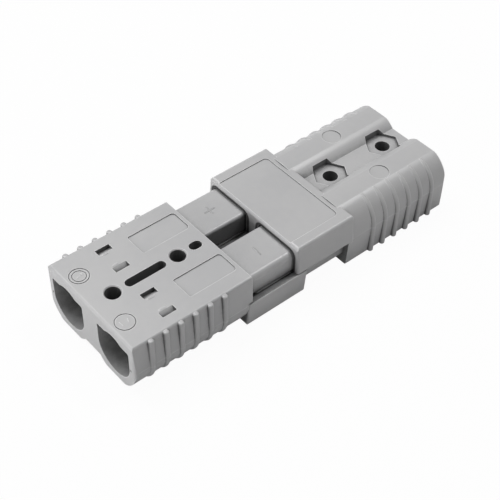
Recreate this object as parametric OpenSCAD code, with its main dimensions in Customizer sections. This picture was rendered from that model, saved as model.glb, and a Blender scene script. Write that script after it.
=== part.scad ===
// Genderless two-pole power connector, shown as two identical halves plugged together.
// Frame: X along the pair, Y across it, Z up; origin at the centre of the mated pair.
// The near half sits on the -X side with its flat face up, the far half is the same
// moulding turned half a turn about Y.

/* [Overall] */
// rear face of a half to the centre of the mated pair
half_len = 102; // [95:0.5:110]
// front plane of the rear body to the centre of the pair
body_front = 31.8; // [28:0.1:36]
// how far the hood reaches past the centre of the pair
hood_nose = 3.3; // [1:0.1:6]
// half width over the flange and hood at the mating plane
half_w = 35.4; // [33:0.1:37]
// height of the flat face above the mating plane
flat_z = 16.6; // [15:0.1:18]
// depth of the hood below the mating plane
hood_z = 16.4; // [15:0.1:18.5]
// gap between the two hoods at the mating plane, on each side
ledge_gap = 0.25; // [0.15:0.05:0.5]

/* [Cable barrels] */
// centre of each pole from the middle
pole_y = 18.4; // [16:0.1:20]
// outer radius of each cable barrel
lobe_r = 16.5; // [15:0.1:17]
// centre of that radius from the middle
lobe_y = 18.2; // [17:0.1:19]
// centre of the barrel radius below the mating plane
lobe_drop = 1; // [0:0.1:4]
// how far each side of the body leans in towards the flat face
body_draft = 0.9; // [0:0.1:2]
// depth of the barrel crests below the mating plane
crest_z = 16.9; // [16:0.1:18.5]
// radius of the shallow crown along each barrel crest
crown_r = 45; // [20:1:80]
// depth of the valley floor below the mating plane
valley_z = 12.1; // [10:0.1:14]
// radius of the cable entry
entry_r = 12.4; // [11:0.1:13]
// height of the flat roof of the cable entry
entry_top = 10.6; // [9:0.1:12]
// end of the wide part of the cable entry, from the centre of the pair
entry_end = 47; // [44:0.5:52]
// rounding of the rear rim
rim_r = 1.5; // [0.5:0.1:2]

/* [Grip ribs] */
// number of ribs on each side
rib_count = 6; // [4:1:8]
// first rib from the rear face
rib_first = 10.3; // [8:0.1:13]
// distance from rib to rib
rib_pitch = 8.56; // [7:0.01:10]
// radius of a rib's round
rib_r = 1.6; // [1:0.1:2.5]
// how far a rib stands out on the side
rib_out = 1.1; // [0.5:0.1:1.6]
// how much less it stands out over the barrel crest
rib_fade = 1.3; // [0:0.1:1.6]
// gap from the flat face down to the rib's end
rib_top_gap = 0.3; // [0.2:0.1:4]

/* [Flange and hood] */
// thickness of the flange at the front of the body
flange_t = 2.7; // [2:0.1:4]
// hood wall thickness at the mating plane
hood_wall = 4; // [2.5:0.1:4.5]
// thickness of the hood floor
hood_floor = 3.7; // [2.5:0.1:4.5]
// how far each side of the hood leans in towards its floor
hood_draft = 1.4; // [0:0.1:2.5]
// how far each side of the flange leans in towards the flat face
flange_draft = 0.8; // [0:0.1:2]
// outer corner radius of the hood
hood_r = 2.2; // [0.5:0.1:4]
// rounding of the flange beside the flat face
flange_r = 2.2; // [0.5:0.1:3]
// rounding round the rear edge of the flange and hood
edge_r = 1.2; // [0.3:0.1:2]
// rounding of the hood's front corners at the sides
nose_r = 1.4; // [0.5:0.1:3]
// half width of the web between the two hood pockets
web_half = 4.6; // [3:0.1:5]
// depth of the sunk panel on the hood
panel_d = 0.4; // [0.2:0.1:0.8]
// half width of the sunk panel
panel_half = 27.6; // [24:0.1:31]
// border behind the sunk panel
panel_rear = 5.1; // [1:0.1:7]
// corner radius of the sunk panel
panel_r = 2.4; // [1:0.1:4]

/* [Tongues] */
// tip of the tongues past the centre of the pair
tongue_tip = 27; // [20:0.5:30]
// inner side of each tongue from the middle
tongue_in = 5.5; // [5:0.1:7]
// outer side of each tongue from the middle
tongue_out = 31; // [29:0.1:32]
// top of the tongues above the mating plane
tongue_top = 12.2; // [11:0.1:14]
// rounding along the outer top edge
tongue_ro = 3.4; // [1:0.1:5]
// rounding along the inner top edge
tongue_ri = 2; // [0.5:0.1:4]

/* [Contacts] */
// width of the contact blade
blade_w = 17; // [14:0.5:18]
// thickness of the contact blade
blade_t = 3.2; // [2:0.1:4]
// half of the gap between the two mated blades
blade_gap = 0.15; // [0.05:0.05:0.3]
// tip of the blade past the centre of the pair
blade_tip = 22.5; // [18:0.5:24]
// outer radius of the crimp barrel
barrel_r = 10.2; // [8:0.1:11]
// bore radius of the crimp barrel
barrel_bore = 8; // [6:0.1:9]
// length of the crimp barrel
barrel_len = 31; // [25:1:38]
// axis of the crimp barrel below the mating plane
barrel_drop = 0.6; // [0:0.1:2]

/* [Retention spring] */
// thickness of the leaf
leaf_t = 0.8; // [0.5:0.1:1.2]
// width of the leaf
leaf_w = 12; // [8:0.5:15]
// free length of the leaf
leaf_len = 50; // [40:1:56]
// height of the space for blade and leaf above the mating plane
channel_top = 7; // [6:0.1:8]

/* [Face details] */
// radius of the two mounting holes
hole_r = 4.1; // [3:0.05:4.5]
// mouth radius of the chamfer at the flat face
hole_mouth = 4.5; // [3.5:0.05:5]
// distance between the two mounting holes
hole_pitch = 38.1; // [36:0.1:40]
// rear mounting hole from the rear face
hole_rear = 13.8; // [12:0.1:16]
// hexagon pocket, centre to corner
hex_r = 10; // [8:0.1:11]
// depth of the hexagon pocket below the valley floor
hex_d = 1.3; // [0.5:0.1:3]
// long slot, end to end
slot_len = 23.3; // [20:0.1:26]
// long slot width
slot_w = 5; // [4:0.1:6]
// depth of the long slot
slot_d = 18; // [8:0.5:22]
// short slot, end to end
oval_len = 7; // [6:0.1:9]
// depth of the short slot
oval_d = 8; // [4:0.5:12]
// depth of the sunk label panels
label_d = 0.45; // [0.2:0.05:0.8]
// outer radius of the round mould marks
mark_r = 5.2; // [4:0.1:6]
// depth of the wedge marks
wedge_d = 2.6; // [0.6:0.1:3]
// round marks on the barrel crests, from the centre of the pair
crest_mark_x = 67.3; // [60:0.1:75]
// depth of the crest marks at the crown
crest_mark_d = 0.5; // [0.2:0.05:0.8]

/* [Hidden] */
$fn = 64;
side_y = lobe_y + lobe_r;
lean = 1.015;
hole_xr = -half_len + hole_rear;
hole_xf = hole_xr + hole_pitch;
slot_x = (hole_xr + hole_xf) / 2 - 0.1;
oval_x = hole_xf + 10.7;
blade_top = blade_gap + blade_t;
leaf_sag = channel_top - blade_top - leaf_t;
leaf_R = (leaf_len * leaf_len / 4 + leaf_sag * leaf_sag) / (2 * leaf_sag);
far = 200;

// ---- helpers -----------------------------------------------------------------

// extrudes a (y, z) profile along X
module along_x(x0, x1)
{
    translate([x0, 0, 0])
        rotate([90, 0, 90])
            linear_extrude(height = x1 - x0)
                children();
}

// extrudes an (x, z) profile along Y
module along_y(y0, y1)
{
    translate([0, y1, 0])
        rotate([90, 0, 0])
            linear_extrude(height = y1 - y0)
                children();
}

// extrudes an (x, y) profile along Z
module along_z(z0, z1)
{
    translate([0, 0, z0])
        linear_extrude(height = z1 - z0)
            children();
}

// what rounding takes off a polygon's corner k, between neighbours a and b; grow above 1
// makes the round meet the sides at a slight angle
module corner_trim(a, k, b, r, grow)
{
    u = (a - k) / norm(a - k);
    v = (b - k) / norm(b - k);
    m = (u + v) / norm(u + v);
    h = acos(u * m);
    c = k + m * r / sin(h);
    difference()
    {
        polygon([k + u * r / tan(h), k - m, k + v * r / tan(h), c]);
        translate(c)
            circle(r = r * grow);
    }
}

// polygon with a radius for each corner
module round_poly(p, r, grow = 1)
{
    n = len(p);
    difference()
    {
        polygon(p);
        for (i = [0 : n - 1])
            if (r[i] > 0)
                corner_trim(p[(i + n - 1) % n], p[i], p[(i + 1) % n], r[i], grow);
    }
}

// rectangle with four corner radii: low-low, high-low, high-high, low-high
module rounded(x0, y0, x1, y1, r)
{
    round_poly([[x0, y0], [x1, y0], [x1, y1], [x0, y1]], r);
}

// rounded slot lying along X
module slot_2d(x, len, w)
{
    translate([x - len / 2 + w / 2, 0])
        circle(d = w);
    translate([x + len / 2 - w / 2, 0])
        circle(d = w);
    translate([x - len / 2 + w / 2, -w / 2])
        square([len - w, w]);
}

// both poles
module each_pole()
{
    for (s = [-1, 1])
        translate([0, s * pole_y, 0])
            children();
}

// ---- housing -----------------------------------------------------------------

// outline of the rear body, seen along X
module body_profile()
{
    w = side_y - body_draft;
    round_poly([[-side_y, -lobe_drop], [side_y, -lobe_drop], [w, flat_z], [-w, flat_z]],
        [0, 0, 1.3, 1.3], lean);
    for (s = [-1, 1])
        intersection()
        {
            translate([s * lobe_y, -lobe_drop])
                circle(r = lobe_r);
            translate([s * lobe_y, crown_r - crest_z])
                circle(r = crown_r);
        }
    translate([-lobe_y, -valley_z])
        square([2 * lobe_y, valley_z]);
}

// rear body with rounded rear rim
module rear_body()
{
    intersection()
    {
        along_x(-half_len, -body_front)
            body_profile();
        along_y(-40, 40)
            rounded(-half_len, -crest_z, 0, flat_z, [rim_r, 0, 0, rim_r]);
        along_z(-40, 40)
            rounded(-half_len, -side_y, 0, side_y, [rim_r, 0, 0, rim_r]);
    }
}

// one grip rib on the +Y side: straight run with a rounded end and the part round the
// barrel, which sinks into the barrel towards the crest
module rib(x)
{
    yc = lobe_y + rib_fade;
    c = lobe_r + rib_out - rib_fade - rib_r;
    translate([x, yc + c, 0])
        rotate_extrude()
            rounded(0, -lobe_drop, rib_r, flat_z - rib_top_gap, [0, 0, 0.9, 0]);
    translate([x, yc, -lobe_drop])
        rotate([0, -90, 0])
            rotate([0, 0, 90])
                rotate_extrude(angle = 80)
                    translate([c, 0])
                        circle(r = rib_r);
}

// all ribs
module ribs()
{
    intersection()
    {
        for (i = [0 : rib_count - 1])
        {
            rib(-half_len + rib_first + i * rib_pitch);
            mirror([0, 1, 0])
                rib(-half_len + rib_first + i * rib_pitch);
        }
        translate([-half_len, -half_w - 2, -crest_z + 0.35])
            cube([half_len, 2 * half_w + 4, crest_z - 0.35 + flat_z]);
    }
}

// outline of the hood below the mating plane, seen along X
module hood_profile(top, r_top)
{
    dw = hood_draft / hood_z;
    w0 = half_w + top * dw;
    w1 = half_w - hood_draft;
    round_poly([[-w0, top], [-w1, -hood_z], [w1, -hood_z], [w0, top]],
        [r_top, hood_r, hood_r, r_top], lean);
}

// outline of the flange above the mating plane, seen along X
module flange_profile()
{
    w1 = half_w - flange_draft;
    round_poly([[-half_w, 0], [half_w, 0], [w1, flat_z], [-w1, flat_z]],
        [0, 0, flange_r, flange_r], lean);
}

// block that rounds the front and rear corners of a leaning +Y side, which moves in by
// inset over the height h
module side_round(inset, h, x1, r1)
{
    translate([0, half_w + 0.02, 0])
        rotate([atan(inset / h), 0, 0])
            along_z(-30, 30)
                rounded(-body_front - flange_t, -100, x1, 0, [0, 0, r1, edge_r]);
}

// flange, hood box and its floor, before the pockets are cut
module hood_box()
{
    xr = -body_front - flange_t;
    intersection()
    {
        union()
        {
            along_x(xr, hood_nose)
                hood_profile(-ledge_gap, 0.5);
            along_x(xr, -body_front)
                hood_profile(0, 0);
        }
        along_y(-40, 40)
            rounded(xr, -hood_z, hood_nose, 1, [edge_r, 2.2, 0, 0]);
        side_round(hood_draft, -hood_z, hood_nose, nose_r);
        mirror([0, 1, 0])
            side_round(hood_draft, -hood_z, hood_nose, nose_r);
    }
    intersection()
    {
        along_x(xr, -body_front)
            flange_profile();
        side_round(flange_draft, flat_z, 50, 0);
        mirror([0, 1, 0])
            side_round(flange_draft, flat_z, 50, 0);
    }
}

// one pocket of the hood, which takes a tongue of the other half
module hood_pocket()
{
    along_x(-body_front, hood_nose + 1)
        rounded(web_half, -hood_z + hood_floor, half_w - hood_wall, 1,
            [tongue_ri + 0.4, tongue_ro + 0.4, 0, 0]);
}

// one tongue
module tongue()
{
    intersection()
    {
        along_x(-body_front - 1, tongue_tip)
            rounded(tongue_in, ledge_gap, tongue_out, tongue_top, [0.5, 0.5, tongue_ro, tongue_ri]);
        along_y(0, 40)
            rounded(-half_len, 0, tongue_tip, tongue_top, [0, 0.8, 3, 0]);
        along_z(-1, 40)
            rounded(-half_len, tongue_in, tongue_tip, tongue_out, [0, 1.5, 1.5, 0]);
    }
}

// space inside one pole for the cable, the contact and its leaf
module pole_space()
{
    along_x(-half_len - 1, -entry_end)
    {
        circle(r = entry_r);
        rounded(-entry_r, 0, entry_r, entry_top, [0, 0, 1.2, 1.2]);
    }
    translate([-entry_end - 1, -blade_w / 2 - 0.3, blade_gap])
        cube([entry_end + 1 - body_front, blade_w + 0.6, channel_top - blade_gap]);
    translate([-body_front, -blade_w / 2 - 0.3, -1])
        cube([body_front + blade_tip + 1, blade_w + 0.6, channel_top + 1]);
}

// wedge mark: steep wall at y0, floor rising to the face at y1
module wedge(y0, y1)
{
    along_x(hole_xr + 8.7, hole_xr + 16.7)
        polygon([[y0, flat_z + 1], [y0, flat_z - wedge_d], [y1, flat_z], [y1, flat_z + 1]]);
}

// marks and openings of the flat face
module face_cuts()
{
    for (x = [hole_xr, hole_xf])
    {
        translate([x, 0, -far / 2])
            cylinder(r = hole_r, h = far);
        translate([x, 0, flat_z - 0.5])
            cylinder(r1 = hole_r, r2 = hole_mouth + 0.8, h = 1);
        translate([x, 0, -valley_z - 20])
            cylinder(r = hex_r, h = 20 + hex_d, $fn = 6);
    }
    along_z(flat_z - slot_d, flat_z + 1)
        slot_2d(slot_x, slot_len, slot_w);
    along_z(flat_z - oval_d, flat_z + 1)
        slot_2d(oval_x, oval_len, slot_w);
    for (s = [0, 1])
        mirror([0, s, 0])
        {
            along_z(flat_z - label_d, flat_z + 1)
                rounded(-62, 11.5, -body_front - 2, 25, [0.8, 2, 2, 0.8]);
            wedge(9.2, 13);
            wedge(27.2, 23.4);
        }
    for (y = [-pole_y, pole_y])
        translate([-half_len + 7.6, y, flat_z - 0.3])
            difference()
            {
                cylinder(r = mark_r, h = 1);
                translate([0, 0, -1])
                    cylinder(r = mark_r - 0.6, h = 3);
            }
    translate([-half_len + 7.6, pole_y, flat_z - 0.3])
        difference()
        {
            cylinder(r = mark_r - 1.5, h = 1);
            translate([0, 0, -1])
                cylinder(r = mark_r - 2, h = 3);
        }
}

// round marks on the barrel crests
module crest_marks()
{
    for (s = [-1, 1])
        translate([-crest_mark_x, s * lobe_y, -crest_z - 2])
            cylinder(r = mark_r, h = 2 + crest_mark_d);
}

// sunk panel on the outside of the hood
module hood_panel()
{
    along_z(-hood_z - 1, -hood_z + panel_d)
        rounded(-body_front - flange_t + panel_rear, -panel_half, hood_nose + 1, panel_half,
            [panel_r, 0, 0, panel_r]);
}

// the whole housing, flat face up, rear at -X
module housing()
{
    difference()
    {
        union()
        {
            rear_body();
            ribs();
            hood_box();
            tongue();
            mirror([0, 1, 0])
                tongue();
        }
        hood_pocket();
        mirror([0, 1, 0])
            hood_pocket();
        each_pole()
            pole_space();
        face_cuts();
        crest_marks();
        hood_panel();
    }
}

// ---- contact -----------------------------------------------------------------

// silver-plated contact: crimp barrel, neck and blade with an upturned nose
module contact()
{
    x_end = -entry_end - 3;
    difference()
    {
        union()
        {
            translate([x_end - barrel_len, 0, -barrel_drop])
                rotate([0, 90, 0])
                    cylinder(r = barrel_r, h = barrel_len);
            translate([x_end - 0.5, 0, 0])
                intersection()
                {
                    along_y(-blade_w / 2, blade_w / 2)
                        polygon([[0, blade_gap], [0, blade_top + 3], [3.4, blade_top],
                            [3.4, blade_gap]]);
                    translate([-1, 0, -barrel_drop])
                        rotate([0, 90, 0])
                            cylinder(r = barrel_r, h = 6);
                }
            intersection()
            {
                along_y(-blade_w / 2, blade_w / 2)
                    rounded(x_end - 0.5, blade_gap, blade_tip, blade_top, [0, 2.2, 0.4, 0]);
                along_z(-1, 10)
                    rounded(x_end - 0.5, -blade_w / 2, blade_tip, blade_w / 2, [0, 2, 2, 0]);
            }
        }
        translate([x_end - barrel_len - 1, 0, -barrel_drop])
            rotate([0, 90, 0])
                cylinder(r = barrel_bore, h = barrel_len - 3);
    }
}

// ---- retention leaf ----------------------------------------------------------

// bowed leaf between the blade and the roof of the tongue
module leaf()
{
    xm = blade_tip - 4 - leaf_len / 2;
    intersection()
    {
        along_y(-leaf_w / 2, leaf_w / 2)
            difference()
            {
                translate([xm, blade_top + leaf_R])
                    circle(r = leaf_R, $fn = 128);
                translate([xm, blade_top + leaf_R])
                    circle(r = leaf_R - leaf_t, $fn = 128);
            }
        translate([xm - leaf_len / 2, -leaf_w, blade_top - 1])
            cube([leaf_len, 2 * leaf_w, channel_top + 1 - blade_top]);
    }
}

// turns the near half into the far half
module as_far()
{
    rotate([0, 180, 0])
        children();
}

// ---- nodes -------------------------------------------------------------------

module housing_near()
{
    color([0.62, 0.62, 0.63])
        housing();
}

module housing_far()
{
    color([0.62, 0.62, 0.63])
        as_far()
            housing();
}

module contact_near_pos()
{
    color([0.8, 0.8, 0.78])
        translate([0, pole_y, 0])
            contact();
}

module contact_near_neg()
{
    color([0.8, 0.8, 0.78])
        translate([0, -pole_y, 0])
            contact();
}

module contact_far_pos()
{
    color([0.8, 0.8, 0.78])
        as_far()
            translate([0, pole_y, 0])
                contact();
}

module contact_far_neg()
{
    color([0.8, 0.8, 0.78])
        as_far()
            translate([0, -pole_y, 0])
                contact();
}

module leaf_near_pos()
{
    color([0.55, 0.55, 0.57])
        translate([0, pole_y, 0])
            leaf();
}

module leaf_near_neg()
{
    color([0.55, 0.55, 0.57])
        translate([0, -pole_y, 0])
            leaf();
}

module leaf_far_pos()
{
    color([0.55, 0.55, 0.57])
        as_far()
            translate([0, pole_y, 0])
                leaf();
}

module leaf_far_neg()
{
    color([0.55, 0.55, 0.57])
        as_far()
            translate([0, -pole_y, 0])
                leaf();
}

housing_near();
housing_far();
contact_near_pos();
contact_near_neg();
contact_far_pos();
contact_far_neg();
leaf_near_pos();
leaf_near_neg();
leaf_far_pos();
leaf_far_neg();
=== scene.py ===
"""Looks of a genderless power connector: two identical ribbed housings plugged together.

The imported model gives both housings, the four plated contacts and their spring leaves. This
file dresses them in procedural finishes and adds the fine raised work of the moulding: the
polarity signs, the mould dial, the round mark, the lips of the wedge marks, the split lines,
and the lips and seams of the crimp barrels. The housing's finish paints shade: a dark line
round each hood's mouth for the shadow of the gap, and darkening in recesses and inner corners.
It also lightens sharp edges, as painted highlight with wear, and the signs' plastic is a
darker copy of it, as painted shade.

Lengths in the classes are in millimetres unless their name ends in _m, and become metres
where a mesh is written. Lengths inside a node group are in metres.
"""

import logging
import math
from dataclasses import dataclass, field
from enum import Enum

import bmesh
import bpy
import numpy as np
from mathutils import Matrix


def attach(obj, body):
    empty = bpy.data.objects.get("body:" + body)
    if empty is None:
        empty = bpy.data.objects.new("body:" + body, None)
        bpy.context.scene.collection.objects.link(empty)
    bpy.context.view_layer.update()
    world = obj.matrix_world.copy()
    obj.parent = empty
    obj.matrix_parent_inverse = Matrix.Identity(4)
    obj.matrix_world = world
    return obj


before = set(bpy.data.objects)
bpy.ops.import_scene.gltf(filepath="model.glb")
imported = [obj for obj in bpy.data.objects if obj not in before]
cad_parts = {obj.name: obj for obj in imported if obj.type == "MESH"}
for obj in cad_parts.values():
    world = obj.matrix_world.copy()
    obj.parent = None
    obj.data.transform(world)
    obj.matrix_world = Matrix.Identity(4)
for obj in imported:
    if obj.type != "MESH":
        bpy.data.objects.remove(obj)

LOG = logging.getLogger("connector")
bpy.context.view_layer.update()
MM = 0.001
Colour = tuple[float, float, float]
Point = tuple[float, float, float]
UP: Point = (0.0, 0.0, 1.0)
DOWN: Point = (0.0, 0.0, -1.0)


class Half(Enum):
    """The two housings of the pair, with the sign of their X and Z axes."""

    NEAR = -1
    FAR = 1

    @property
    def body(self) -> str:
        """Name of the body that this half's pieces ride on."""
        return "near_half" if self is Half.NEAR else "far_half"

    @property
    def word(self) -> str:
        """Short name used in piece names."""
        return "near" if self is Half.NEAR else "far"

    def place(self, points: np.ndarray) -> np.ndarray:
        """Moves points drawn on the near half to this half.

        The far half is the near half turned half a turn about Y, so X and Z change sign.

        Args:
            points: Array of shape (..., 3) in the near half's place.

        Returns:
            The same points on this half.
        """
        if self is Half.NEAR:
            return points
        return points * np.array([-1.0, 1.0, -1.0])


class Pole(Enum):
    """The two poles of a half, with the sign of Y."""

    POSITIVE = 1
    NEGATIVE = -1

    @property
    def word(self) -> str:
        """Short name used in node and piece names."""
        return "pos" if self is Pole.POSITIVE else "neg"


class Slot(Enum):
    """Material slots of the record."""

    PLASTIC = "housing_plastic"
    PLATE = "contact_plate"
    STEEL = "leaf_steel"


# ---- meshes --------------------------------------------------------------------


def grid_faces(rows: int, cols: int, wrap_rows: bool) -> np.ndarray:
    """Quads of a grid whose columns close on themselves.

    The quad at row i and column j joins (i, j), (i, j+1), (i+1, j+1) and (i+1, j).

    Args:
        rows: Number of rows of vertices.
        cols: Number of columns, which wrap round.
        wrap_rows: Whether the last row joins the first.

    Returns:
        Integer array of shape (faces, 4).
    """
    last = rows if wrap_rows else rows - 1
    i, j = np.meshgrid(np.arange(last), np.arange(cols), indexing="ij")
    i2, j2 = (i + 1) % rows, (j + 1) % cols
    return np.stack([i * cols + j, i * cols + j2, i2 * cols + j2, i2 * cols + j], -1).reshape(-1, 4)


def bead_points(
    path: np.ndarray, up: np.ndarray, half_width: np.ndarray, rise: float, sink: float,
    sides: int = 16,
) -> np.ndarray:
    """Surface of a low bead that follows a path on a face.

    At each path point with tangent T, up direction U and side direction S = T x U, the section
    is P + S b cos(v) + U c sin(v), where b is the half width there, c is the rise above the
    face for sin(v) > 0 and the depth below it for sin(v) < 0, and both fall to nothing with b.

    Args:
        path: Points along the bead, shape (n, 3).
        up: Unit directions out of the face, shape (n, 3).
        half_width: Half width at each point, shape (n,).
        rise: Height above the face.
        sink: Depth below the face.
        sides: Number of points round the section.

    Returns:
        Array of shape (n, sides, 3).
    """
    tangent = np.gradient(path, axis=0)
    tangent /= np.linalg.norm(tangent, axis=1, keepdims=True)
    side = np.cross(tangent, up)
    side /= np.linalg.norm(side, axis=1, keepdims=True)
    v = np.linspace(0.0, 2.0 * math.pi, sides, endpoint=False)
    share = half_width / half_width.max()
    height = np.where(np.sin(v) > 0.0, rise, sink)
    return (
        path[:, None, :]
        + side[:, None, :] * half_width[:, None, None] * np.cos(v)[None, :, None]
        + up[:, None, :] * share[:, None, None] * (height * np.sin(v))[None, :, None]
    )


def tapered(length: np.ndarray, radius: float) -> np.ndarray:
    """Half width of a bead with round ends.

    Along the run at distance s from the nearer end, the half width is sqrt(r^2 - (r - s)^2)
    while s is under the radius r, and r after that.

    Args:
        length: Distance run at each path point, starting at nothing.
        radius: Full half width.

    Returns:
        Half width at each point.
    """
    s = np.clip(np.minimum(length, length[-1] - length), 0.0, radius)
    return np.sqrt(np.maximum(radius**2 - (radius - s) ** 2, 0.0))


def run_of(path: np.ndarray) -> np.ndarray:
    """Distance run along a path at each of its points."""
    steps = np.linalg.norm(np.diff(path, axis=0), axis=1)
    return np.concatenate([[0.0], np.cumsum(steps)])


def straight(start: np.ndarray, end: np.ndarray, radius: float, inner: int = 3) -> np.ndarray:
    """Points of a straight path, close together where the bead's ends round off.

    Args:
        start: First point.
        end: Last point.
        radius: Half width of the bead, over which its ends round off.
        inner: Points between the rounded ends.

    Returns:
        Array of shape (n, 3).
    """
    span = float(np.linalg.norm(end - start))
    arc = radius * (1.0 - np.cos(np.linspace(0.0, math.pi / 2.0, 7)))
    middle = np.linspace(arc[-1], span - arc[-1], inner + 2)[1:-1]
    s = np.concatenate([arc, middle, (span - arc)[::-1]])
    return start + (end - start) * (s / span)[:, None]


def tidy_mesh(mesh: bpy.types.Mesh) -> None:
    """Merges doubles, drops empty faces and turns all faces outwards.

    Args:
        mesh: The mesh, changed in place.
    """
    bm = bmesh.new()
    bm.from_mesh(mesh)
    bmesh.ops.remove_doubles(bm, verts=bm.verts, dist=1e-7)
    bmesh.ops.dissolve_degenerate(bm, edges=bm.edges, dist=1e-8)
    bmesh.ops.recalc_face_normals(bm, faces=bm.faces)
    bm.to_mesh(mesh)
    bm.free()


@dataclass
class Piece:
    """A raised detail made of one or more closed surfaces."""

    name: str
    half: Half
    slot: Slot
    points: list[np.ndarray] = field(default_factory=list)
    faces: list[np.ndarray] = field(default_factory=list)
    count: int = 0

    def add(self, grid: np.ndarray, wrap_rows: bool = False) -> None:
        """Adds a grid surface drawn on the near half.

        Args:
            grid: Points of shape (rows, columns, 3), whose columns wrap round.
            wrap_rows: Whether the last row joins the first, as on a ring.
        """
        rows, cols = grid.shape[:2]
        self.points.append(self.half.place(grid.reshape(-1, 3)))
        self.faces.append(grid_faces(rows, cols, wrap_rows) + self.count)
        self.count += rows * cols

    def bar(self, start: Point, end: Point, up: Point, radius: float, rise: float) -> None:
        """Adds a straight bead with round ends.

        Args:
            start: First end on the near half.
            end: Other end.
            up: Unit direction out of the face.
            radius: Half width.
            rise: Height above the face, also its depth below.
        """
        path = straight(np.array(start), np.array(end), radius)
        ups = np.tile(np.array(up, float), (len(path), 1))
        self.add(bead_points(path, ups, tapered(run_of(path), radius), rise, 1.2 * rise))

    def finish(self, material: bpy.types.Material) -> bpy.types.Object:
        """Writes the mesh, dresses it and lets it ride on its half.

        Args:
            material: Finish of the piece.

        Returns:
            The new object.
        """
        points = np.concatenate(self.points) * MM
        faces = np.concatenate(self.faces)
        mesh = bpy.data.meshes.new(self.name)
        mesh.from_pydata(points.tolist(), [], faces.tolist())
        tidy_mesh(mesh)
        mesh.polygons.foreach_set("use_smooth", [True] * len(mesh.polygons))
        mesh.materials.append(material)
        obj = bpy.data.objects.new(self.name, mesh)
        bpy.context.scene.collection.objects.link(obj)
        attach(obj, self.half.body)
        LOG.info("%s: %d faces on %s", self.name, len(mesh.polygons), self.half.body)
        return obj


# ---- effects shared by the finishes ----------------------------------------------


class Effect(Enum):
    """Names of the shared node groups."""

    EDGE = "edge_wear"
    GRAIN = "spark_grain"
    CLOUD = "colour_cloud"
    STREAK = "drawn_streaks"
    SCUFF = "handling_scuffs"
    GRIME = "recess_grime"
    MOUTH = "mouth_line"


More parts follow.
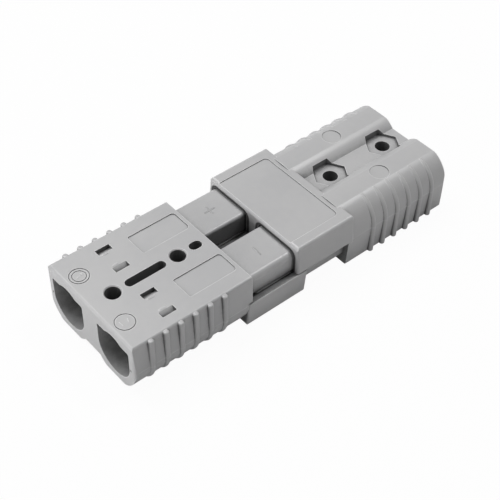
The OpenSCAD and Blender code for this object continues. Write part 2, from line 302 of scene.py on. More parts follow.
class Effects:
    """Builds each shared node group once."""

    def __init__(self) -> None:
        """Makes all groups."""
        self.groups = {
            Effect.EDGE: self.edge_wear(),
            Effect.GRAIN: self.spark_grain(),
            Effect.CLOUD: self.colour_cloud(),
            Effect.STREAK: self.drawn_streaks(),
            Effect.SCUFF: self.handling_scuffs(),
            Effect.GRIME: self.recess_grime(),
            Effect.MOUTH: self.mouth_line(),
        }

    @staticmethod
    def start(
        effect: Effect, inputs: dict[str, float], outputs: dict[str, str]
    ) -> tuple[bpy.types.NodeTree, bpy.types.Node, bpy.types.Node]:
        """Starts a group with its sockets.

        Args:
            effect: Which group.
            inputs: Value inputs with their defaults; a Vector input always comes first.
            outputs: Output names with their socket types.

        Returns:
            The tree, its input node and its output node.
        """
        tree = bpy.data.node_groups.new(effect.value, "ShaderNodeTree")
        face = tree.interface
        face.new_socket("Vector", in_out="INPUT", socket_type="NodeSocketVector")
        for name, value in inputs.items():
            socket = face.new_socket(name, in_out="INPUT", socket_type="NodeSocketFloat")
            socket.default_value = value
        for name, kind in outputs.items():
            face.new_socket(name, in_out="OUTPUT", socket_type=kind)
        return tree, tree.nodes.new("NodeGroupInput"), tree.nodes.new("NodeGroupOutput")

    @staticmethod
    def maths(
        tree: bpy.types.NodeTree, operation: str, a: object, b: object = 0.0, clamp: bool = False
    ) -> bpy.types.NodeSocket:
        """Adds a Math node.

        Args:
            tree: Where it goes.
            operation: Blender's name of the operation.
            a: First socket or number.
            b: Second socket or number.
            clamp: Whether the result stays between 0 and 1.

        Returns:
            The result socket.
        """
        node = tree.nodes.new("ShaderNodeMath")
        node.operation = operation
        node.use_clamp = clamp
        for k, value in enumerate((a, b)):
            if isinstance(value, bpy.types.NodeSocket):
                tree.links.new(value, node.inputs[k])
            else:
                node.inputs[k].default_value = value
        return node.outputs[0]

    @staticmethod
    def noise(
        tree: bpy.types.NodeTree, vector: bpy.types.NodeSocket, scale: object, detail: float,
        rough: float = 0.5,
    ) -> bpy.types.NodeSocket:
        """Adds a noise texture.

        Args:
            tree: Where it goes.
            vector: Coordinates it reads.
            scale: Cycles per metre, a socket or a number.
            detail: Number of finer layers.
            rough: How much each finer layer counts.

        Returns:
            The value socket.
        """
        node = tree.nodes.new("ShaderNodeTexNoise")
        tree.links.new(vector, node.inputs["Vector"])
        if isinstance(scale, bpy.types.NodeSocket):
            tree.links.new(scale, node.inputs["Scale"])
        else:
            node.inputs["Scale"].default_value = scale
        node.inputs["Detail"].default_value = detail
        node.inputs["Roughness"].default_value = rough
        return node.outputs["Fac"]

    @staticmethod
    def ramp(
        tree: bpy.types.NodeTree, value: bpy.types.NodeSocket, low: float, high: float,
        to_low: float = 0.0, to_high: float = 1.0,
    ) -> bpy.types.NodeSocket:
        """Adds a smooth clamped map from one range to another.

        Args:
            tree: Where it goes.
            value: What is mapped.
            low: Value that becomes to_low.
            high: Value that becomes to_high.
            to_low: Result at and below low.
            to_high: Result at and above high.

        Returns:
            The result socket.
        """
        node = tree.nodes.new("ShaderNodeMapRange")
        node.interpolation_type = "SMOOTHSTEP"
        tree.links.new(value, node.inputs["Value"])
        ends = {"From Min": low, "From Max": high, "To Min": to_low, "To Max": to_high}
        for name, number in ends.items():
            node.inputs[name].default_value = number
        return node.outputs["Result"]

    def edge_wear(self) -> bpy.types.NodeTree:
        """Sharp edges, for wear and for a painted highlight along them: the mask grows where a
        normal averaged over Width leaves the face's own normal, broken up by a slow noise; a normal
        averaged over Radius rounds the edge.

        Returns:
            The group's tree.
        """
        tree, enter, leave = self.start(
            Effect.EDGE, {"Radius": 0.0004, "Width": 0.0010, "Reach": 0.35, "Patch Scale": 90.0},
            {"Mask": "NodeSocketFloat", "Normal": "NodeSocketVector"},
        )
        round_off, wide = tree.nodes.new("ShaderNodeBevel"), tree.nodes.new("ShaderNodeBevel")
        round_off.samples, wide.samples = 6, 8
        tree.links.new(enter.outputs["Radius"], round_off.inputs["Radius"])
        tree.links.new(enter.outputs["Width"], wide.inputs["Radius"])
        here = tree.nodes.new("ShaderNodeNewGeometry")
        dot = tree.nodes.new("ShaderNodeVectorMath")
        dot.operation = "DOT_PRODUCT"
        tree.links.new(wide.outputs["Normal"], dot.inputs[0])
        tree.links.new(here.outputs["Normal"], dot.inputs[1])
        bend = self.maths(tree, "SUBTRACT", 1.0, dot.outputs["Value"])
        edge = self.maths(tree, "DIVIDE", bend, enter.outputs["Reach"], clamp=True)
        slow = self.noise(tree, enter.outputs["Vector"], enter.outputs["Patch Scale"], detail=4.0)
        patch = self.ramp(tree, slow, low=0.3, high=0.62, to_low=0.55, to_high=1.0)
        tree.links.new(self.maths(tree, "MULTIPLY", edge, patch), leave.inputs["Mask"])
        tree.links.new(round_off.outputs["Normal"], leave.inputs["Normal"])
        return tree

    def spark_grain(self) -> bpy.types.NodeTree:
        """Spark-eroded mould texture: a fine noise with small pits over it.

        Returns:
            The group's tree.
        """
        tree, enter, leave = self.start(
            Effect.GRAIN, {"Scale": 2600.0, "Pit Scale": 1100.0, "Pits": 0.4},
            {"Height": "NodeSocketFloat"},
        )
        scale = enter.outputs["Scale"]
        fine = self.noise(tree, enter.outputs["Vector"], scale, detail=3.0, rough=0.6)
        cells = tree.nodes.new("ShaderNodeTexVoronoi")
        cells.feature = "SMOOTH_F1"
        tree.links.new(enter.outputs["Vector"], cells.inputs["Vector"])
        tree.links.new(enter.outputs["Pit Scale"], cells.inputs["Scale"])
        pits = self.ramp(tree, cells.outputs["Distance"], low=0.05, high=0.35)
        pitted = self.maths(tree, "MULTIPLY", pits, enter.outputs["Pits"])
        tree.links.new(self.maths(tree, "ADD", fine, pitted), leave.inputs["Height"])
        return tree

    def colour_cloud(self) -> bpy.types.NodeTree:
        """Slow colour drift: a wide noise and a finer one, mixed two to one.

        Returns:
            The group's tree.
        """
        wide_share, fine_share = 0.67, 0.33
        tree, enter, leave = self.start(
            Effect.CLOUD, {"Scale": 22.0, "Fine Scale": 160.0}, {"Value": "NodeSocketFloat"}
        )
        wide = self.noise(tree, enter.outputs["Vector"], enter.outputs["Scale"], detail=2.0)
        fine = self.noise(tree, enter.outputs["Vector"], enter.outputs["Fine Scale"], detail=3.0)
        both = self.maths(
            tree, "ADD", self.maths(tree, "MULTIPLY", wide, wide_share),
            self.maths(tree, "MULTIPLY", fine, fine_share),
        )
        tree.links.new(self.ramp(tree, both, low=0.3, high=0.7), leave.inputs["Value"])
        return tree

    def drawn_streaks(self) -> bpy.types.NodeTree:
        """Drawn metal: a noise stretched along X, so that it streaks that way.

        Returns:
            The group's tree.
        """
        along_x = 0.04
        tree, enter, leave = self.start(
            Effect.STREAK, {"Scale": 900.0}, {"Height": "NodeSocketFloat"}
        )
        squeeze = tree.nodes.new("ShaderNodeMapping")
        squeeze.inputs["Scale"].default_value = (along_x, 1.0, 1.0)
        tree.links.new(enter.outputs["Vector"], squeeze.inputs["Vector"])
        scale = enter.outputs["Scale"]
        streak = self.noise(tree, squeeze.outputs["Vector"], scale, detail=4.0, rough=0.65)
        tree.links.new(streak, leave.inputs["Height"])
        return tree

    def handling_scuffs(self) -> bpy.types.NodeTree:
        """Faint scuffs: thin level lines of a noise, kept only in patches.

        Returns:
            The group's tree.
        """
        level, patch_scale = 0.5, 45.0
        tree, enter, leave = self.start(
            Effect.SCUFF, {"Scale": 120.0, "Width": 0.012}, {"Mask": "NodeSocketFloat"}
        )
        scale = enter.outputs["Scale"]
        lines = self.noise(tree, enter.outputs["Vector"], scale, detail=1.5, rough=0.4)
        off = self.maths(tree, "ABSOLUTE", self.maths(tree, "SUBTRACT", lines, level))
        widths_off = self.maths(tree, "DIVIDE", off, enter.outputs["Width"])
        thin = self.maths(tree, "SUBTRACT", 1.0, widths_off, clamp=True)
        slow = self.noise(tree, enter.outputs["Vector"], patch_scale, detail=2.0)
        patch = self.ramp(tree, slow, low=0.5, high=0.68)
        tree.links.new(self.maths(tree, "MULTIPLY", thin, patch), leave.inputs["Mask"])
        return tree

    def recess_grime(self) -> bpy.types.NodeTree:
        """Painted shade of recesses and corners: Deep grows where the piece's own walls, within
        Reach, shut out most of the half space over a point; Crease grows in its inner corners,
        where walls within Corner Reach shut out part of it.

        Returns:
            The group's tree.
        """
        uneven = 0.04
        crease_shut, crease_open = 0.48, 0.86
        tree, enter, leave = self.start(
            Effect.GRIME,
            {"Reach": 0.022, "Open": 0.62, "Shut": 0.28, "Corner Reach": 0.0022,
             "Patch Scale": 300.0},
            {"Deep": "NodeSocketFloat", "Crease": "NodeSocketFloat"},
        )
        far_walls, near_walls = (tree.nodes.new("ShaderNodeAmbientOcclusion") for _ in range(2))
        for walls, name in ((far_walls, "Reach"), (near_walls, "Corner Reach")):
            walls.samples = 8
            walls.only_local = True
            tree.links.new(enter.outputs[name], walls.inputs["Distance"])
        slow = self.noise(tree, enter.outputs["Vector"], enter.outputs["Patch Scale"], detail=3.0)
        patch = self.ramp(tree, slow, low=0.3, high=0.7, to_low=-uneven, to_high=uneven)
        open_share = self.maths(tree, "ADD", far_walls.outputs["AO"], patch)
        span = self.maths(tree, "SUBTRACT", enter.outputs["Open"], enter.outputs["Shut"])
        over = self.maths(tree, "SUBTRACT", enter.outputs["Open"], open_share)
        tree.links.new(self.maths(tree, "DIVIDE", over, span, clamp=True), leave.inputs["Deep"])
        crease = self.ramp(tree, near_walls.outputs["AO"], crease_shut, crease_open, 1.0, 0.0)
        tree.links.new(crease, leave.inputs["Crease"])
        return tree

    def mouth_line(self) -> bpy.types.NodeTree:
        """Painted shade of the gap: a dark line round each hood's mouth, on the tongues in it, and
        along its open rim.

        The mouth's plane is where x times the sign of z is the mouth's distance below nothing.
        With q the amounts by which (| |y| - centre |, |z|) pass the pocket's half size less its
        corner radius, and never under nothing, the distance outside the pocket is |q| less that
        radius. The line is full where it is small and weaker where it is under nothing, on a
        tongue. The rim's line is where |y| is just over the pocket's side and z is near nothing.
        Each of its edges is a pair: where the line starts to fade and where it is gone.

        Returns:
            The group's tree.
        """
        line_edge, tongue_edge, tongue_share = (0.75, 1.25), (-0.15, -0.05), 0.65
        plane_edge = (0.0005, 0.0012)
        rim_outer, rim_inner, rim_level = (0.8, 1.3), (-0.3, -0.1), (0.0005, 0.0008)
        tree, enter, leave = self.start(
            Effect.MOUTH,
            {"Mouth": 0.0033, "Centre": 0.0176, "Half Width": 0.0138, "Ceiling": 0.0127,
             "Corner": 0.0034, "Line": 0.0014, "Rim": 0.0007},
            {"Mask": "NodeSocketFloat"},
        )
        parts = tree.nodes.new("ShaderNodeSeparateXYZ")
        tree.links.new(enter.outputs["Vector"], parts.inputs[0])
        y, z = (self.maths(tree, "ABSOLUTE", parts.outputs[k]) for k in (1, 2))
        corner = enter.outputs["Corner"]
        from_centre = self.maths(tree, "SUBTRACT", y, enter.outputs["Centre"])
        across = self.maths(tree, "ABSOLUTE", from_centre)
        sides = []
        for place, size in ((across, "Half Width"), (z, "Ceiling")):
            flat = self.maths(tree, "SUBTRACT", enter.outputs[size], corner)
            over = self.maths(tree, "SUBTRACT", place, flat)
            sides.append(self.maths(tree, "MAXIMUM", over, 0.0))
        squares = self.maths(tree, "ADD", *(self.maths(tree, "MULTIPLY", q, q) for q in sides))
        outside = self.maths(tree, "SUBTRACT", self.maths(tree, "SQRT", squares), corner)
        share = self.maths(tree, "DIVIDE", outside, enter.outputs["Line"])
        line = self.maths(
            tree, "MULTIPLY", self.ramp(tree, share, *line_edge, 1.0, 0.0),
            self.ramp(tree, share, *tongue_edge, tongue_share, 1.0),
        )
        upright = self.maths(tree, "SIGN", parts.outputs[2])
        turned = self.maths(tree, "MULTIPLY", parts.outputs[0], upright)
        off = self.maths(tree, "ABSOLUTE", self.maths(tree, "ADD", turned, enter.outputs["Mouth"]))
        mouth = self.maths(tree, "MULTIPLY", line, self.ramp(tree, off, *plane_edge, 1.0, 0.0))
        side = self.maths(tree, "ADD", enter.outputs["Centre"], enter.outputs["Half Width"])
        beyond = self.maths(tree, "SUBTRACT", y, side)
        past = self.maths(tree, "DIVIDE", beyond, enter.outputs["Rim"])
        strip = self.maths(
            tree, "MULTIPLY", self.ramp(tree, past, *rim_outer, 1.0, 0.0),
            self.ramp(tree, past, *rim_inner),
        )
        rim = self.maths(tree, "MULTIPLY", strip, self.ramp(tree, z, *rim_level, 1.0, 0.0))
        tree.links.new(self.maths(tree, "MAXIMUM", mouth, rim), leave.inputs["Mask"])
        return tree

    def place(
        self, tree: bpy.types.NodeTree, effect: Effect, vector: bpy.types.NodeSocket,
        values: dict[str, float],
    ) -> bpy.types.Node:
        """Places a group in a material with that material's own values.

        Args:
            tree: The material's node tree.
            effect: Which group.
            vector: Coordinates it reads.
            values: Input values by name.

        Returns:
            The group node.
        """
        node = tree.nodes.new("ShaderNodeGroup")
        node.node_tree = self.groups[effect]
        tree.links.new(vector, node.inputs["Vector"])
        for name, value in values.items():
            node.inputs[name].default_value = value
        return node


def tint(
    tree: bpy.types.NodeTree, factor: bpy.types.NodeSocket, a: object, b: Colour
) -> bpy.types.NodeSocket:
    """Mixes a colour or colour socket towards another colour.

    Args:
        tree: Where the node goes.
        factor: How far towards b, from 0 to 1.
        a: Colour or colour socket it starts from.
        b: Colour it goes to.

    Returns:
        The mixed colour's socket.
    """
    node = tree.nodes.new("ShaderNodeMix")
    node.data_type = "RGBA"
    tree.links.new(factor, node.inputs["Factor"])
    if isinstance(a, bpy.types.NodeSocket):
        tree.links.new(a, node.inputs[6])
    else:
        node.inputs[6].default_value = (*a, 1.0)
    node.inputs[7].default_value = (*b, 1.0)
    return node.outputs[2]


def scaled(
    tree: bpy.types.NodeTree, mask: bpy.types.NodeSocket, share: float
) -> bpy.types.NodeSocket:
    """A mask times a share."""
    return Effects.maths(tree, "MULTIPLY", mask, share)


def bump(
    tree: bpy.types.NodeTree, height: bpy.types.NodeSocket, depth_mm: float,
    normal: bpy.types.NodeSocket | None = None,
) -> bpy.types.NodeSocket:
    """Adds a Bump node of a real depth.

    Args:
        tree: Where the node goes.
        height: Height from 0 to 1.
        depth_mm: Depth that a height of 1 stands for.
        normal: Normal it starts from, if not the face's own.

    Returns:
        The normal's socket.
    """
    node = tree.nodes.new("ShaderNodeBump")
    node.inputs["Strength"].default_value = 1.0
    node.inputs["Distance"].default_value = depth_mm * MM
    tree.links.new(height, node.inputs["Height"])
    if normal is not None:
        tree.links.new(normal, node.inputs["Normal"])
    return node.outputs["Normal"]


# ---- finishes ----------------------------------------------------------------------


@dataclass(frozen=True)
class MouldedPlastic:
    """Satin moulded polycarbonate with a spark-eroded grain and rubbed edges.

    Its sharp edges are lightened as painted highlight, with wear, and its recesses, inner corners
    and the gap round each hood's mouth are darkened as painted shade.

    A name that ends in _share says how much of a mask counts, and one that ends in _scale is
    in cycles per metre.
    """

    name: str = "moulded_grey"
    colour: Colour = (0.440, 0.440, 0.446)
    pale: Colour = (0.468, 0.466, 0.468)
    # The next colour lightens sharp edges: painted highlight, with wear.
    rubbed_highlight: Colour = (0.80, 0.80, 0.80)
    scuffed: Colour = (0.53, 0.53, 0.53)
    # The next colour darkens recesses and inner corners: painted shade.
    painted_shade: Colour = (0.130, 0.130, 0.132)
    # The next colour darkens the gap round each hood's mouth: painted shade.
    gap_shade: Colour = (0.020, 0.020, 0.021)
    roughness: float = 0.33
    drift: float = 0.03
    ior: float = 1.55
    grain_mm: float = 0.014
    grain_scale: float = 1500.0
    pit_scale: float = 1100.0
    pit_share: float = 0.5
    cloud_scale: float = 26.0
    fine_cloud_scale: float = 240.0
    edge_mm: float = 0.22
    edge_width_mm: float = 0.6
    edge_reach: float = 0.04
    edge_patch_scale: float = 110.0
    rubbed_highlight_share: float = 0.75
    edge_gloss: float = 0.02
    scuff_scale: float = 130.0
    scuff_width: float = 0.010
    scuff_share: float = 0.10
    recess_mm: float = 22.0
    recess_open: float = 0.84
    recess_shut: float = 0.60
    recess_share: float = 0.9
    corner_mm: float = 2.2
    corner_share: float = 0.85
    mouth_shade_share: float = 0.92
    mouth_rough: float = 0.4

    def build(self, effects: Effects) -> bpy.types.Material:
        """Makes the material.

        Args:
            effects: The shared node groups.

        Returns:
            The material.
        """
        mat = bpy.data.materials.new(self.name)
        mat.use_nodes = True
        tree = mat.node_tree
        shader = tree.nodes["Principled BSDF"]
        spot = tree.nodes.new("ShaderNodeTexCoord").outputs["Object"]
        edge = effects.place(tree, Effect.EDGE, spot, {
            "Radius": self.edge_mm * MM, "Width": self.edge_width_mm * MM,
            "Reach": self.edge_reach, "Patch Scale": self.edge_patch_scale,
        })
        grain = effects.place(tree, Effect.GRAIN, spot, {
            "Scale": self.grain_scale, "Pit Scale": self.pit_scale, "Pits": self.pit_share,
        })
        cloud = effects.place(tree, Effect.CLOUD, spot, {
            "Scale": self.cloud_scale, "Fine Scale": self.fine_cloud_scale,
        })
        scuff = effects.place(tree, Effect.SCUFF, spot, {
            "Scale": self.scuff_scale, "Width": self.scuff_width,
        })
        recess_shade = effects.place(tree, Effect.GRIME, spot, {
            "Reach": self.recess_mm * MM, "Open": self.recess_open, "Shut": self.recess_shut,
            "Corner Reach": self.corner_mm * MM,
        })
        mouth = effects.place(tree, Effect.MOUTH, spot, {})
        crease, line = recess_shade.outputs["Crease"], mouth.outputs["Mask"]
        clear = Effects.maths(tree, "SUBTRACT", 1.0, crease)
        rub_and_highlight = Effects.maths(tree, "MULTIPLY", edge.outputs["Mask"], clear)
        colour = tint(tree, cloud.outputs["Value"], self.colour, self.pale)
        for mask, share, towards in (
            # Sharp edges lightened: painted highlight, with wear.
            (rub_and_highlight, self.rubbed_highlight_share, self.rubbed_highlight),
            (scuff.outputs["Mask"], self.scuff_share, self.scuffed),
            # Painted shade in inner corners and in recesses.
            (crease, self.corner_share, self.painted_shade),
            (recess_shade.outputs["Deep"], self.recess_share, self.painted_shade),
            # Painted shade of the gap round each hood's mouth.
            (line, self.mouth_shade_share, self.gap_shade),
        ):
            colour = tint(tree, scaled(tree, mask, share), colour, towards)
        tree.links.new(colour, shader.inputs["Base Color"])
        low, high = self.roughness - self.drift, self.roughness + self.drift
        rough = Effects.ramp(tree, cloud.outputs["Value"], 0.0, 1.0, low, high)
        rough = Effects.maths(tree, "ADD", rough, scaled(tree, line, self.mouth_rough))
        rough = Effects.maths(tree, "SUBTRACT", rough, scaled(tree, rub_and_highlight, self.edge_gloss))
        tree.links.new(rough, shader.inputs["Roughness"])
        normal = bump(tree, grain.outputs["Height"], self.grain_mm, edge.outputs["Normal"])
        tree.links.new(normal, shader.inputs["Normal"])
        shader.inputs["IOR"].default_value = self.ior
        return mat


@dataclass(frozen=True)
class DrawnMetal:
    """Drawn or plated metal with streaks along the pair and a slow tarnish."""

    name: str
    colour: Colour
    dull: Colour
    bright: Colour
    roughness: float
    smoother: float = 0.06
    rougher: float = 0.08
    streak_mm: float = 0.006
    streak_scale: float = 1500.0
    cloud_scale: float = 60.0
    fine_cloud_scale: float = 420.0
    edge_mm: float = 0.25
    edge_reach: float = 0.3
    edge_patch_scale: float = 200.0

    def build(self, effects: Effects) -> bpy.types.Material:
        """Makes the material.

        Args:
            effects: The shared node groups.

        Returns:
            The material.
        """
        mat = bpy.data.materials.new(self.name)
        mat.use_nodes = True
        tree = mat.node_tree
        shader = tree.nodes["Principled BSDF"]
        shader.inputs["Metallic"].default_value = 1.0
        spot = tree.nodes.new("ShaderNodeTexCoord").outputs["Object"]
        edge = effects.place(tree, Effect.EDGE, spot, {
            "Radius": self.edge_mm * MM, "Width": self.edge_mm * MM,
            "Reach": self.edge_reach, "Patch Scale": self.edge_patch_scale,
        })
        streak = effects.place(tree, Effect.STREAK, spot, {"Scale": self.streak_scale})
        cloud = effects.place(tree, Effect.CLOUD, spot, {
            "Scale": self.cloud_scale, "Fine Scale": self.fine_cloud_scale,
        })
        dulled = tint(tree, cloud.outputs["Value"], self.colour, self.dull)
        worn = tint(tree, edge.outputs["Mask"], dulled, self.bright)
        tree.links.new(worn, shader.inputs["Base Color"])
        rough = Effects.ramp(
            tree, streak.outputs["Height"], low=0.3, high=0.7,
            to_low=self.roughness - self.smoother, to_high=self.roughness + self.rougher,
        )
        tree.links.new(rough, shader.inputs["Roughness"])
        normal = bump(tree, streak.outputs["Height"], self.streak_mm, edge.outputs["Normal"])
        tree.links.new(normal, shader.inputs["Normal"])
        return mat


@dataclass
class Finishes:
    """The three finishes of the pair, by record slot, and a darker one for the signs, whose
    darkness is painted shade.
    """

    effects: Effects
    by_slot: dict[Slot, bpy.types.Material] = field(default_factory=dict)
    sign: bpy.types.Material | None = None

    def build(self) -> None:
        """Makes all materials."""
        self.by_slot[Slot.PLASTIC] = MouldedPlastic().build(self.effects)
        # The signs take a darker copy of the plastic: painted shade.
        self.sign = MouldedPlastic(
            "moulded_sign", colour=(0.34, 0.34, 0.345), pale=(0.36, 0.36, 0.36), rubbed_highlight_share=0.1
        ).build(self.effects)
        self.by_slot[Slot.PLATE] = DrawnMetal(
            "silver_plate", (0.82, 0.81, 0.78), (0.70, 0.67, 0.60), (0.90, 0.89, 0.87), 0.26
        ).build(self.effects)
        self.by_slot[Slot.STEEL] = DrawnMetal(
            "spring_steel", (0.55, 0.56, 0.58), (0.44, 0.45, 0.47), (0.68, 0.69, 0.71), 0.32
        ).build(self.effects)

    def dress(self, node: str, slot: Slot) -> None:
        """Gives a CAD node its finish.

        Args:
            node: Name of the node.
            slot: Slot whose finish it takes.
        """
        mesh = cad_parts[node].data
        mesh.materials.clear()
        mesh.materials.append(self.by_slot[slot])
        LOG.info("%s: %s", node, self.by_slot[slot].name)


# ---- sub-assemblies ------------------------------------------------------------------


@dataclass(frozen=True)
class Stroke:
    """A raised stroke in a round mark, by its ends' X and Y from the mark's centre."""

    start: tuple[float, float]
    end: tuple[float, float]
    radius: float = 0.28
    rise: float = 0.16


@dataclass
class Housing:
    """One moulded housing with its raised signs, round marks, mark lips and split lines."""

    half: Half
    finishes: Finishes
    half_len: float = 102.0
    flange_back: float = 34.5
    flat_z: float = 16.6
    tongue_top: float = 12.2
    pole_y: float = 18.4
    sign_x: float = -16.0
    sign_len: float = 6.8
    sign_r: float = 0.55
    sign_rise: float = 0.16
    lip_x: tuple[float, float] = (-78.6, -74.6)
    lip_ys: tuple[float, ...] = (22.7, 13.8, -13.7, -22.6)
    lip_r: float = 0.7
    lip_rise: float = 0.26
    dial_x: float = -94.4
    dial_r: float = 4.15
    tick_count: int = 12
    tick_half: float = 0.27
    tick_r: float = 0.14
    tick_rise: float = 0.10
    pointer: tuple[Stroke, ...] = (
        Stroke((-2.0, -0.7), (2.0, 0.7)),
        Stroke((2.0, 0.7), (0.9, 1.2), radius=0.24),
        Stroke((2.0, 0.7), (1.3, -0.4), radius=0.24),
    )
    plain_strokes: tuple[Stroke, ...] = (
        Stroke((-2.2, 1.7), (-2.0, -1.3), rise=0.14),
        Stroke((1.3, -1.1), (2.2, 1.1), rise=0.14),
    )
    side_y: float = 34.7
    split_z: float = -1.0
    split_from_rear: float = 1.3
    split_to_flange: float = 0.05
    split_step: float = 0.1
    split_r: float = 0.09
    split_rise: float = 0.045
    split_sink: float = 0.15
    split_sides: int = 8
    rib_first: float = 10.3
    rib_pitch: float = 8.56
    rib_count: int = 6
    rib_r: float = 1.6
    rib_reach: float = 35.8

    def build(self) -> None:
        """Dresses the node and adds its raised work."""
        self.finishes.dress(f"housing_{self.half.word}", Slot.PLASTIC)
        self.signs()
        self.dial()
        self.blank_mark()
        self.mark_lips()
        for pole in Pole:
            self.split_line(pole)

    def piece(self, name: str) -> Piece:
        """Starts a plastic piece of this half."""
        return Piece(f"{name}_{self.half.word}", self.half, Slot.PLASTIC)

    def close(self, piece: Piece) -> None:
        """Finishes a plastic piece."""
        piece.finish(self.finishes.by_slot[Slot.PLASTIC])

    def signs(self) -> None:
        """Raised plus and minus on the tops of the two tongues."""
        x, y, z, a = self.sign_x, self.pole_y, self.tongue_top, self.sign_len / 2.0
        plus = self.piece("sign_plus")
        plus.bar((x - a, y, z), (x + a, y, z), UP, self.sign_r, self.sign_rise)
        plus.bar((x, y - a, z), (x, y + a, z), UP, self.sign_r, self.sign_rise)
        plus.finish(self.finishes.sign)
        minus = self.piece("sign_minus")
        minus.bar((x, -y - a, z), (x, -y + a, z), UP, self.sign_r, self.sign_rise)
        minus.finish(self.finishes.sign)

    def draw(self, piece: Piece, strokes: tuple[Stroke, ...], y: float) -> None:
        """Adds strokes to the piece of a round mark.

        Args:
            piece: The mark's piece.
            strokes: What is drawn.
            y: Centre of the mark across the poles.
        """
        for stroke in strokes:
            start, end = (
                (self.dial_x + dx, y + dy, self.flat_z) for dx, dy in (stroke.start, stroke.end)
            )
            piece.bar(start, end, UP, stroke.radius, stroke.rise)

    def dial(self) -> None:
        """Raised ticks round the positive pole's mould dial, with a pointer in its middle."""
        dial = self.piece("mould_dial")
        turn = np.linspace(0.0, 2.0 * math.pi, self.tick_count, endpoint=False)
        for c, s in zip(np.cos(turn), np.sin(turn)):
            inner, outer = self.dial_r - self.tick_half, self.dial_r + self.tick_half
            self.draw(dial, (Stroke(
                (c * inner, s * inner), (c * outer, s * outer), self.tick_r, self.tick_rise
            ),), self.pole_y)
        self.draw(dial, self.pointer, self.pole_y)
        self.close(dial)

    def blank_mark(self) -> None:
        """Two plain strokes in the negative pole's round mark."""
        mark = self.piece("round_mark")
        self.draw(mark, self.plain_strokes, -self.pole_y)
        self.close(mark)

    def mark_lips(self) -> None:
        """Low raised lips along the shallow edges of the four wedge marks."""
        lips = self.piece("mark_lips")
        for y in self.lip_ys:
            ends = [(x, y, self.flat_z) for x in self.lip_x]
            lips.bar(ends[0], ends[1], UP, self.lip_r, self.lip_rise)
        self.close(lips)

    def split_line(self, pole: Pole) -> None:
        """Fine flash where the mould halves met, along one side and over its ribs.

        The line runs along X at the side's widest height; its reach is the larger of the side
        and c + sqrt(r^2 - d^2) over each rib of radius r at distance d.

        Args:
            pole: Which side.
        """
        ribs = -self.half_len + self.rib_first + self.rib_pitch * np.arange(self.rib_count)
        rear = -self.half_len + self.split_from_rear
        front = -self.flange_back - self.split_to_flange
        x = np.arange(rear, front, self.split_step)
        gap = np.abs(x[:, None] - ribs[None, :]).min(axis=1)
        over = self.rib_reach - self.rib_r + np.sqrt(np.maximum(self.rib_r**2 - gap**2, 0.0))
        reach = np.where(gap < self.rib_r, np.maximum(self.side_y, over), self.side_y)
        path = np.stack([x, pole.value * reach, np.full_like(x, self.split_z)], 1)
        slope = np.gradient(reach, x)
        up = np.stack([-slope, np.full_like(x, 1.0), np.zeros_like(x)], 1)
        up /= np.linalg.norm(up, axis=1, keepdims=True)
        up[:, 1] *= pole.value
        line = self.piece(f"split_line_{pole.word}")
        half_width = tapered(run_of(path), self.split_r)
        line.add(bead_points(
            path, up, half_width, self.split_rise, self.split_sink, self.split_sides
        ))
        self.close(line)


@dataclass
class Contact:
    """One plated crimp contact with the rolled lip and brazed seam of its barrel."""

    half: Half
    pole: Pole
    finishes: Finishes
    barrel_end: float = -81.0
    barrel_front: float = -50.0
    barrel_z: float = -0.6
    outer_r: float = 10.2
    bore_r: float = 8.0
    pole_y: float = 18.4
    lip_inset: float = 0.15
    lip_out: float = 0.45
    lip_steps: int = 96
    lip_sides: int = 12
    seam_inset: float = 0.8
    seam_r: float = 0.4
    seam_rise: float = 0.12

    def build(self) -> None:
        """Dresses the contact and adds its lip and seam."""
        name = f"{self.half.word}_{self.pole.word}"
        self.finishes.dress(f"contact_{name}", Slot.PLATE)
        self.finishes.dress(f"leaf_{name}", Slot.STEEL)
        y = self.pole.value * self.pole_y
        self.lip(name, y)
        self.seam(name, y)

    def lip(self, name: str, y: float) -> None:
        """Rolled lip round the barrel's mouth: a ring of the wall's mean radius.

        Args:
            name: End of the piece's name.
            y: Centre of the pole.
        """
        radius = (self.outer_r + self.bore_r) / 2.0
        turn = np.linspace(0.0, 2.0 * math.pi, self.lip_steps, endpoint=False)
        v = np.linspace(0.0, 2.0 * math.pi, self.lip_sides, endpoint=False)
        t, w = np.meshgrid(turn, v, indexing="ij")
        r = radius + (self.outer_r - radius - self.lip_inset) * np.cos(w)
        x = self.barrel_end + self.lip_out * np.sin(w)
        ring = np.stack([x, y + r * np.cos(t), self.barrel_z + r * np.sin(t)], -1)
        piece = Piece(f"barrel_lip_{name}", self.half, Slot.PLATE)
        piece.add(ring, wrap_rows=True)
        piece.finish(self.finishes.by_slot[Slot.PLATE])

    def seam(self, name: str, y: float) -> None:
        """Brazed seam along the foot of the barrel.

        Args:
            name: End of the piece's name.
            y: Centre of the pole.
        """
        z = self.barrel_z - self.outer_r
        rear, front = self.barrel_end + self.seam_inset, self.barrel_front - self.seam_inset
        piece = Piece(f"barrel_seam_{name}", self.half, Slot.PLATE)
        piece.bar((rear, y, z), (front, y, z), DOWN, self.seam_r, self.seam_rise)
        piece.finish(self.finishes.by_slot[Slot.PLATE])


@dataclass(frozen=True)
class Lamp:
    """A square area lamp that faces the origin."""

    name: str
    at_m: Point
    watts: float
    side_m: float


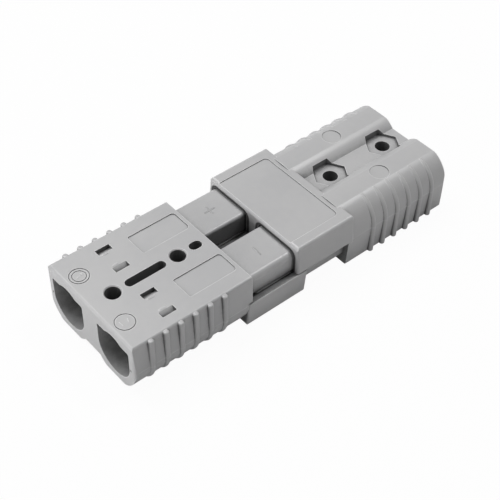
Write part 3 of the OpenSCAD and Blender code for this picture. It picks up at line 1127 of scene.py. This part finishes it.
@dataclass(frozen=True)
class Studio:
    """Camera, lamps, floor and world of a plain pale studio.

    To the camera the floor is white by the share floor_glow; the rest is lit and takes the
    shadow. The world's level goes from the horizon's to the zenith's as Z goes to zenith_z.
    """

    azimuth_deg: float = -40.946
    elevation_deg: float = 45.524
    roll_deg: float = 1.245
    camera_mm: Point = (-276.105, -313.204, 412.999)
    lens_mm: float = 82.96344
    sensor_mm: float = 36.0
    near_m: float = 0.01
    far_m: float = 20.0
    floor_z: float = -16.9
    floor_half_m: float = 4.0
    floor_colour: Colour = (0.76, 0.76, 0.76)
    floor_rough: float = 0.9
    floor_glow: float = 0.96
    zenith_z: float = 0.7
    zenith_level: float = 0.17
    horizon_level: float = 0.30
    lamps: tuple[Lamp, ...] = (
        Lamp("overhead", (-0.12, 0.52, 1.15), 10.9, 0.8),
        Lamp("rim", (0.62, -0.16, 1.12), 4.4, 0.2),
        Lamp("fill", (-1.25, 0.35, 0.15), 8.9, 0.5),
    )

    def build(self) -> None:
        """Makes everything that isn't part of the object."""
        bpy.context.scene.view_settings.view_transform = "Standard"
        self.camera()
        self.floor()
        self.world()
        for lamp in self.lamps:
            self.light(lamp)

    def camera(self) -> None:
        """Makes the camera: it looks along the view direction with a small roll about it."""
        data = bpy.data.cameras.new("camera")
        data.sensor_width = self.sensor_mm
        data.lens = self.lens_mm
        data.clip_start, data.clip_end = self.near_m, self.far_m
        a, e, r = (math.radians(v) for v in (self.azimuth_deg, self.elevation_deg, self.roll_deg))
        back = np.array([math.sin(a) * math.cos(e), -math.cos(a) * math.cos(e), math.sin(e)])
        right = np.array([math.cos(a), math.sin(a), 0.0])
        above = np.cross(back, right)
        columns = np.eye(4)
        columns[:3, 0] = math.cos(r) * right + math.sin(r) * above
        columns[:3, 1] = -math.sin(r) * right + math.cos(r) * above
        columns[:3, 2] = back
        columns[:3, 3] = np.array(self.camera_mm) * MM
        cam = bpy.data.objects.new("camera", data)
        bpy.context.scene.collection.objects.link(cam)
        cam.matrix_world = Matrix(columns.tolist())
        bpy.context.scene.camera = cam

    def light(self, lamp: Lamp) -> None:
        """Makes a lamp and turns its back to the way out from the origin.

        Args:
            lamp: The lamp's place, power and size.
        """
        data = bpy.data.lights.new(lamp.name, "AREA")
        data.energy, data.size = lamp.watts, lamp.side_m
        obj = bpy.data.objects.new(lamp.name, data)
        bpy.context.scene.collection.objects.link(obj)
        z = np.array(lamp.at_m) / np.linalg.norm(lamp.at_m)
        x = np.cross([0.0, 1.0, 0.0], z)
        x /= np.linalg.norm(x)
        columns = np.eye(4)
        columns[:3, :] = np.stack([x, np.cross(z, x), z, lamp.at_m], 1)
        obj.matrix_world = Matrix(columns.tolist())

    def floor(self) -> None:
        """Makes the floor: white to the camera, with a share of real light for the shadow."""
        s, z = self.floor_half_m, self.floor_z * MM
        mesh = bpy.data.meshes.new("floor")
        mesh.from_pydata([(-s, -s, z), (s, -s, z), (s, s, z), (-s, s, z)], [], [(0, 1, 2, 3)])
        obj = bpy.data.objects.new("floor", mesh)
        bpy.context.scene.collection.objects.link(obj)
        mat = bpy.data.materials.new("floor")
        mat.use_nodes = True
        tree = mat.node_tree
        shader = tree.nodes["Principled BSDF"]
        shader.inputs["Base Color"].default_value = (*self.floor_colour, 1.0)
        shader.inputs["Roughness"].default_value = self.floor_rough
        shader.inputs["Specular IOR Level"].default_value = 0.0
        glow = tree.nodes.new("ShaderNodeEmission")
        glow.inputs["Strength"].default_value = 1.0
        sight = tree.nodes.new("ShaderNodeLightPath")
        share = scaled(tree, sight.outputs["Is Camera Ray"], self.floor_glow)
        mixed = tree.nodes.new("ShaderNodeMixShader")
        tree.links.new(share, mixed.inputs["Fac"])
        tree.links.new(shader.outputs[0], mixed.inputs[1])
        tree.links.new(glow.outputs[0], mixed.inputs[2])
        tree.links.new(mixed.outputs[0], tree.nodes["Material Output"].inputs["Surface"])
        mesh.materials.append(mat)

    def world(self) -> None:
        """Makes a plain white surround, brighter at the horizon than overhead."""
        world = bpy.data.worlds.new("world")
        world.use_nodes = True
        tree = world.node_tree
        back = tree.nodes["Background"]
        back.inputs["Color"].default_value = (1.0, 1.0, 1.0, 1.0)
        parts = tree.nodes.new("ShaderNodeSeparateXYZ")
        tree.links.new(tree.nodes.new("ShaderNodeTexCoord").outputs["Generated"], parts.inputs[0])
        level = Effects.ramp(
            tree, parts.outputs["Z"], low=0.0, high=self.zenith_z,
            to_low=self.horizon_level, to_high=self.zenith_level,
        )
        tree.links.new(level, back.inputs["Strength"])
        bpy.context.scene.world = world


def main() -> None:
    """Builds the studio, the finishes and both halves in order."""
    logging.basicConfig(level=logging.INFO, format="%(name)s: %(message)s")
    Studio().build()
    finishes = Finishes(Effects())
    finishes.build()
    for half in Half:
        Housing(half, finishes).build()
        for pole in Pole:
            Contact(half, pole, finishes).build()


if __name__ == "__main__":
    main()
